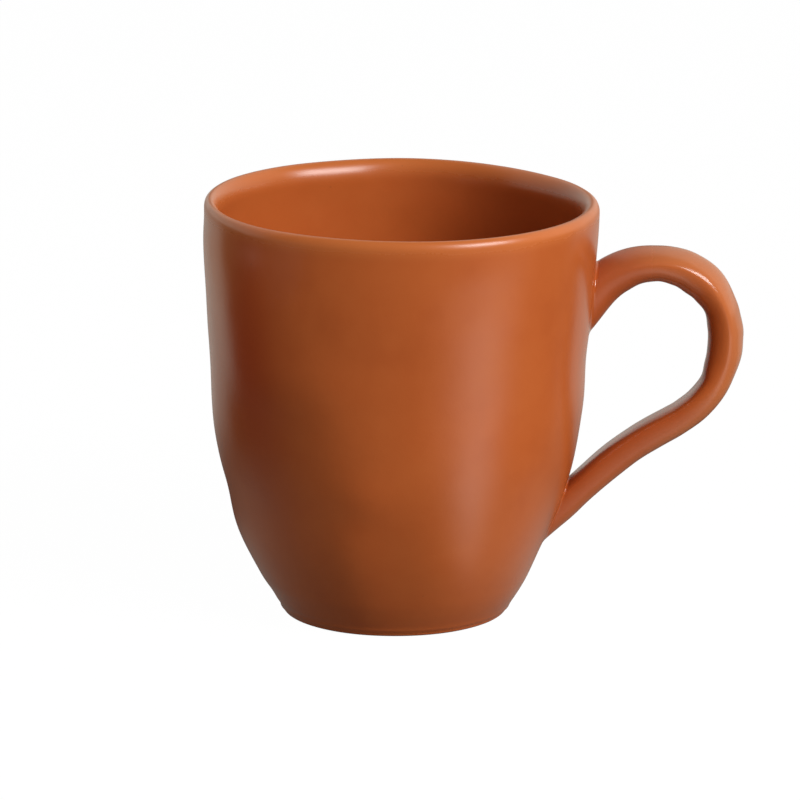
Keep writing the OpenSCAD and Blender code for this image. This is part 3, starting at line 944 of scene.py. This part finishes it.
def glaze_material(name, finish, cup, gloss=0.0, mirror=0.5, settled=0.0, strap=False):
    """Satin terracotta glaze with fine grain and few dark specks; the lip is warmer and lighter, partly as thin
    glaze and partly as a painted highlight.

    gloss comes off the roughness, settled is glaze run together all over, and strap adds the handle's painted
    sheen and painted shade and darkens it near its ends. Painted shade darkens the inside of the cup towards the
    handle, and patches of painted light and shade lie on the left of the wall.
    """
    material, bench, surface = shader(name)
    place = bench.place()
    x, _, z = bench.split(place)
    clouds = bench.noise(place, 38.0, 3.0)
    patches = bench.noise(place, 150.0, 3.0, 0.6)
    grain = bench.noise(place, 2600.0, 2.0, 0.6)
    # The lip: its colour turns warmer and lighter there, partly as thin glaze and partly as a painted highlight;
    # it is also rougher.
    thin = z.ramp(cup.height - 4.6 * MM, cup.height - 0.4 * MM) * 0.6
    mottle = ((clouds - 0.5) * 0.9 + (patches - 0.5) * 0.5 + 0.35 + thin).limited()
    # Painted shade: the inside of the cup darker towards the handle side, which faces away from the light.
    painted_inside_shade = bench.carried("inside") * x.ramp(-8 * MM, 26 * MM) * (1.0 - thin * 1.5)
    # The random pooling is real; the inside term is painted shade.
    pooled = ((0.42 - clouds) * 3.0).limited() * 0.5 + painted_inside_shade * 0.7 + settled
    dots = bench.add("ShaderNodeTexVoronoi", {"Vector": place, "Scale": 420.0}, feature="F1")
    specks = (0.09 - dots > 0.0) * (bench.noise(place, 90.0) > 0.66) * 0.2
    rough = (patches - 0.5) * 0.06 + (grain - 0.5) * 0.02 + thin * 0.12 + (finish.roughness - gloss)
    painted_strap_light = []
    if strap:
        darker_ends, painted_sheen, dark, rougher = strap_shade_and_sheen(bench, x, z)
        pooled, rough = pooled + darker_ends, rough + rougher
        painted_strap_light = [(painted_sheen, finish.worn), (dark, finish.iron)]

    # Colours laid over the glaze in turn. The patches, the inside part of the pooled tone, the handle's sheen and
    # inner shade, and part of the lip's lighter colour are painted light and shade.
    tint = finish.glaze
    for amount, over in (
        (mottle, finish.warm),
        *((bench.patch(*patch), getattr(finish, patch_colour)) for patch_colour, *patch in PAINTED_LIGHT_PATCHES),
        (pooled, finish.pooled), *painted_strap_light, (thin * 0.8, finish.edge), (specks, finish.iron),
    ):
        tint = bench.blend(amount, tint, over)
    smooth = z.ramp(cup.height - 10 * MM, cup.height - 5 * MM) * 0.8
    height = (grain * 1.2 + bench.noise(place, 700.0) * 1.2) * (1.0 - smooth)
    bump = bench.add("ShaderNodeBump", {"Strength": 0.4, "Distance": finish.grain, "Height": height})
    bench.plug(surface, {
        "Base Color": tint, "Roughness": rough, "Normal": bump, "IOR": 1.5, "Specular IOR Level": mirror})
    return material


def foot_material(finish, foot):
    """Bare wiped clay under the foot, stained by glaze along its outer edge."""
    material, bench, surface = shader("foot_clay")
    place = bench.place()
    x, y, _ = bench.split(place)
    grain = bench.noise(place, 1500.0, 4.0, 0.7)
    pits = bench.noise(place, 420.0, 3.0, 0.6)
    wander = (bench.noise(place, 140.0) - 0.5) * (2.4 * MM)
    radius = (x * x + y * y).math("SQRT") + wander
    stain = radius.ramp(foot.diameter / 2 - 1.5 * MM, foot.diameter / 2 - 0.7 * MM) * 0.75
    dark = [c * 0.72 for c in finish.clay]
    clay = bench.blend((pits * 0.7 + grain * 0.3).limited(), dark, finish.clay)
    bump = bench.add("ShaderNodeBump", {"Strength": 0.5, "Distance": 0.08 * MM, "Height": grain + pits})
    rough = 0.85 - stain * 0.35 + (grain - 0.5) * 0.1
    bench.plug(surface, {"Base Color": bench.blend(stain, clay, finish.glaze), "Roughness": rough, "Normal": bump})
    return material


def lamp(name, place, target, size, power):
    data = bpy.data.lights.new(name, "AREA")
    data.shape = "RECTANGLE"
    data.size, data.size_y = size
    data.energy = power
    light = placed(name, data)
    light.location = place
    light.rotation_euler = (Vector(target) - Vector(place)).to_track_quat("-Z", "Y").to_euler()
    light.visible_camera = False
    return light


class MUG_OT_stage(bpy.types.Operator):
    """Set the table, the white surroundings, the lights and the camera"""

    bl_idname = "mug.stage"
    bl_label = "Stage"

    def execute(self, context):
        scene = context.scene
        studio = scene.mug_studio
        scene.view_settings.view_transform = "Standard"
        self.set_world(scene, studio)
        self.set_table(studio)
        lamp("key", *KEY_LIGHT, studio.key)
        lamp("fill", *FILL_LIGHT, studio.fill).visible_glossy = False
        data = bpy.data.cameras.new("camera")
        data.lens = studio.focal
        camera = placed("camera", data)
        camera.location = (studio.aside, -studio.distance, studio.height)
        camera.rotation_euler = (QUARTER_TURN - studio.pitch, 0.0, 0.0)
        scene.camera = camera
        return {"FINISHED"}

    def rays(self, bench):
        """One for rays from the camera, and one for rays that a glossy or clear surface sends on."""
        node = bench.add("ShaderNodeLightPath").socket.node
        camera, glossy, clear = (
            Term(bench, node.outputs[key]) for key in ("Is Camera Ray", "Is Glossy Ray", "Is Transmission Ray"))
        return camera, (glossy + clear).limited()

    def set_world(self, scene, studio):
        """White for the camera, even light on the cup, and a backdrop for the glaze to mirror."""
        world = bpy.data.worlds.new("white_room")
        world.use_nodes = True
        scene.world = world
        bench = Bench(world.node_tree)
        camera, mirrored = self.rays(bench)
        aside, behind, up = bench.split(bench.add("ShaderNodeTexCoord"))
        wide = behind + aside.math("ABSOLUTE") * 0.6
        strip = (aside / 0.12).bell() * ((up - 0.16) / 0.25).bell() * 0.9
        backdrop = wide.ramp(0.35, 0.65) * (1.0 - strip) * (1.0 - studio.dim) + studio.dim
        unseen = mirrored * (backdrop - studio.ambient) + studio.ambient
        bench.plug(world.node_tree.nodes["Background"], {
            "Color": bench.blend(mirrored, WHITE, WARM_WHITE), "Strength": camera * (1.0 - unseen) + unseen})

    def set_table(self, studio):
        """White with a soft shadow for the camera, and lit in places for the glaze to mirror."""
        mesh = bpy.data.meshes.new("table")
        corners = [(x * TABLE_REACH, y * TABLE_REACH, 0.0) for x, y in ((-1, -1), (1, -1), (1, 1), (-1, 1))]
        mesh.from_pydata(corners, [], [(0, 1, 2, 3)])
        table = placed("table", mesh)
        material, bench, surface = shader("white_table")
        camera, mirrored = self.rays(bench)
        gleam = self.gleam(bench, studio)
        lit = gleam * 0.6
        bench.plug(surface, {
            "Base Color": TABLE_GREY, "Roughness": 0.9, "Specular IOR Level": 0.0,
            "Emission Color": bench.join(lit, lit, lit), "Emission Strength": 1.0})
        shine = self.sweep(bench, studio) + gleam + bench.patch(*LEFT_PATCH) + 0.05
        glow = bench.add("ShaderNodeEmission", {
            "Color": bench.blend(mirrored, WHITE, WARM_WHITE), "Strength": camera * 1.1 + mirrored * shine})
        mixed = bench.add("ShaderNodeMixShader",
                          {0: camera * 0.9 + mirrored, 1: Term(bench, surface.outputs[0]), 2: glow})
        bench.plug(material.node_tree.nodes["Material Output"], {"Surface": mixed})
        mesh.materials.append(material)

    def sweep(self, bench, studio):
        """The white sweep: it opens to the back, beyond the cup's soft shadow."""
        place = bench.place()
        aside, behind, _ = bench.split(place)
        edge = behind - aside.math("ABSOLUTE") * 0.7 + aside * 0.15 + 0.05
        away = bench.vector("LENGTH", place, out=1)
        return edge.ramp(-0.03, 0.03) * away.ramp(0.08, 0.22) * studio.sweep

    def gleam(self, bench, studio):
        """The light's gleam: a wedge that opens towards the light, and a lit patch."""
        aside, behind, _ = bench.split(bench.place())
        sine, cosine = math.sin(studio.gleam_turn), math.cos(studio.gleam_turn)
        along = aside * sine - behind * cosine
        across = aside * cosine + behind * sine - along.ramp(0.12, 0.28) * 0.03
        half = along.math("MAXIMUM", MM) * (along * 0.75 + 0.12)
        wedge = (across / half * math.sqrt(math.log(2))).bell()
        lengthwise = along.ramp(0.03, 0.085) * (1.0 - along.ramp(0.24, 0.36))
        return wedge * lengthwise * studio.gleam + bench.patch(*RIGHT_PATCH)


class MUG_PT_panel(bpy.types.Panel):
    """Sizes, finishes and operators of the clay mug"""

    bl_idname = "MUG_PT_panel"
    bl_label = "Clay mug"
    bl_space_type = "VIEW_3D"
    bl_region_type = "UI"
    bl_category = "Clay mug"

    def draw(self, context):
        layout = self.layout
        for operator in OPERATORS:
            layout.operator(operator.bl_idname)
        for key in SETTINGS:
            group = getattr(context.scene, key)
            box = layout.box()
            box.label(text=type(group).__doc__)
            for name in type(group).__annotations__:
                box.prop(group, name)


OPERATORS = (MUG_OT_body, MUG_OT_foot, MUG_OT_handle, MUG_OT_stage)
CLASSES = (*SETTINGS.values(), *OPERATORS, MUG_PT_panel)


def register():
    for kind in CLASSES:
        bpy.utils.register_class(kind)
    for key, group in SETTINGS.items():
        setattr(bpy.types.Scene, key, bpy.props.PointerProperty(type=group))


def unregister():
    for key in SETTINGS:
        delattr(bpy.types.Scene, key)
    for kind in reversed(CLASSES):
        bpy.utils.unregister_class(kind)


def main():
    register()
    bpy.ops.mug.body()
    bpy.ops.mug.foot()
    bpy.ops.mug.handle()
    bpy.ops.mug.stage()


if __name__ == "__main__":
    main()
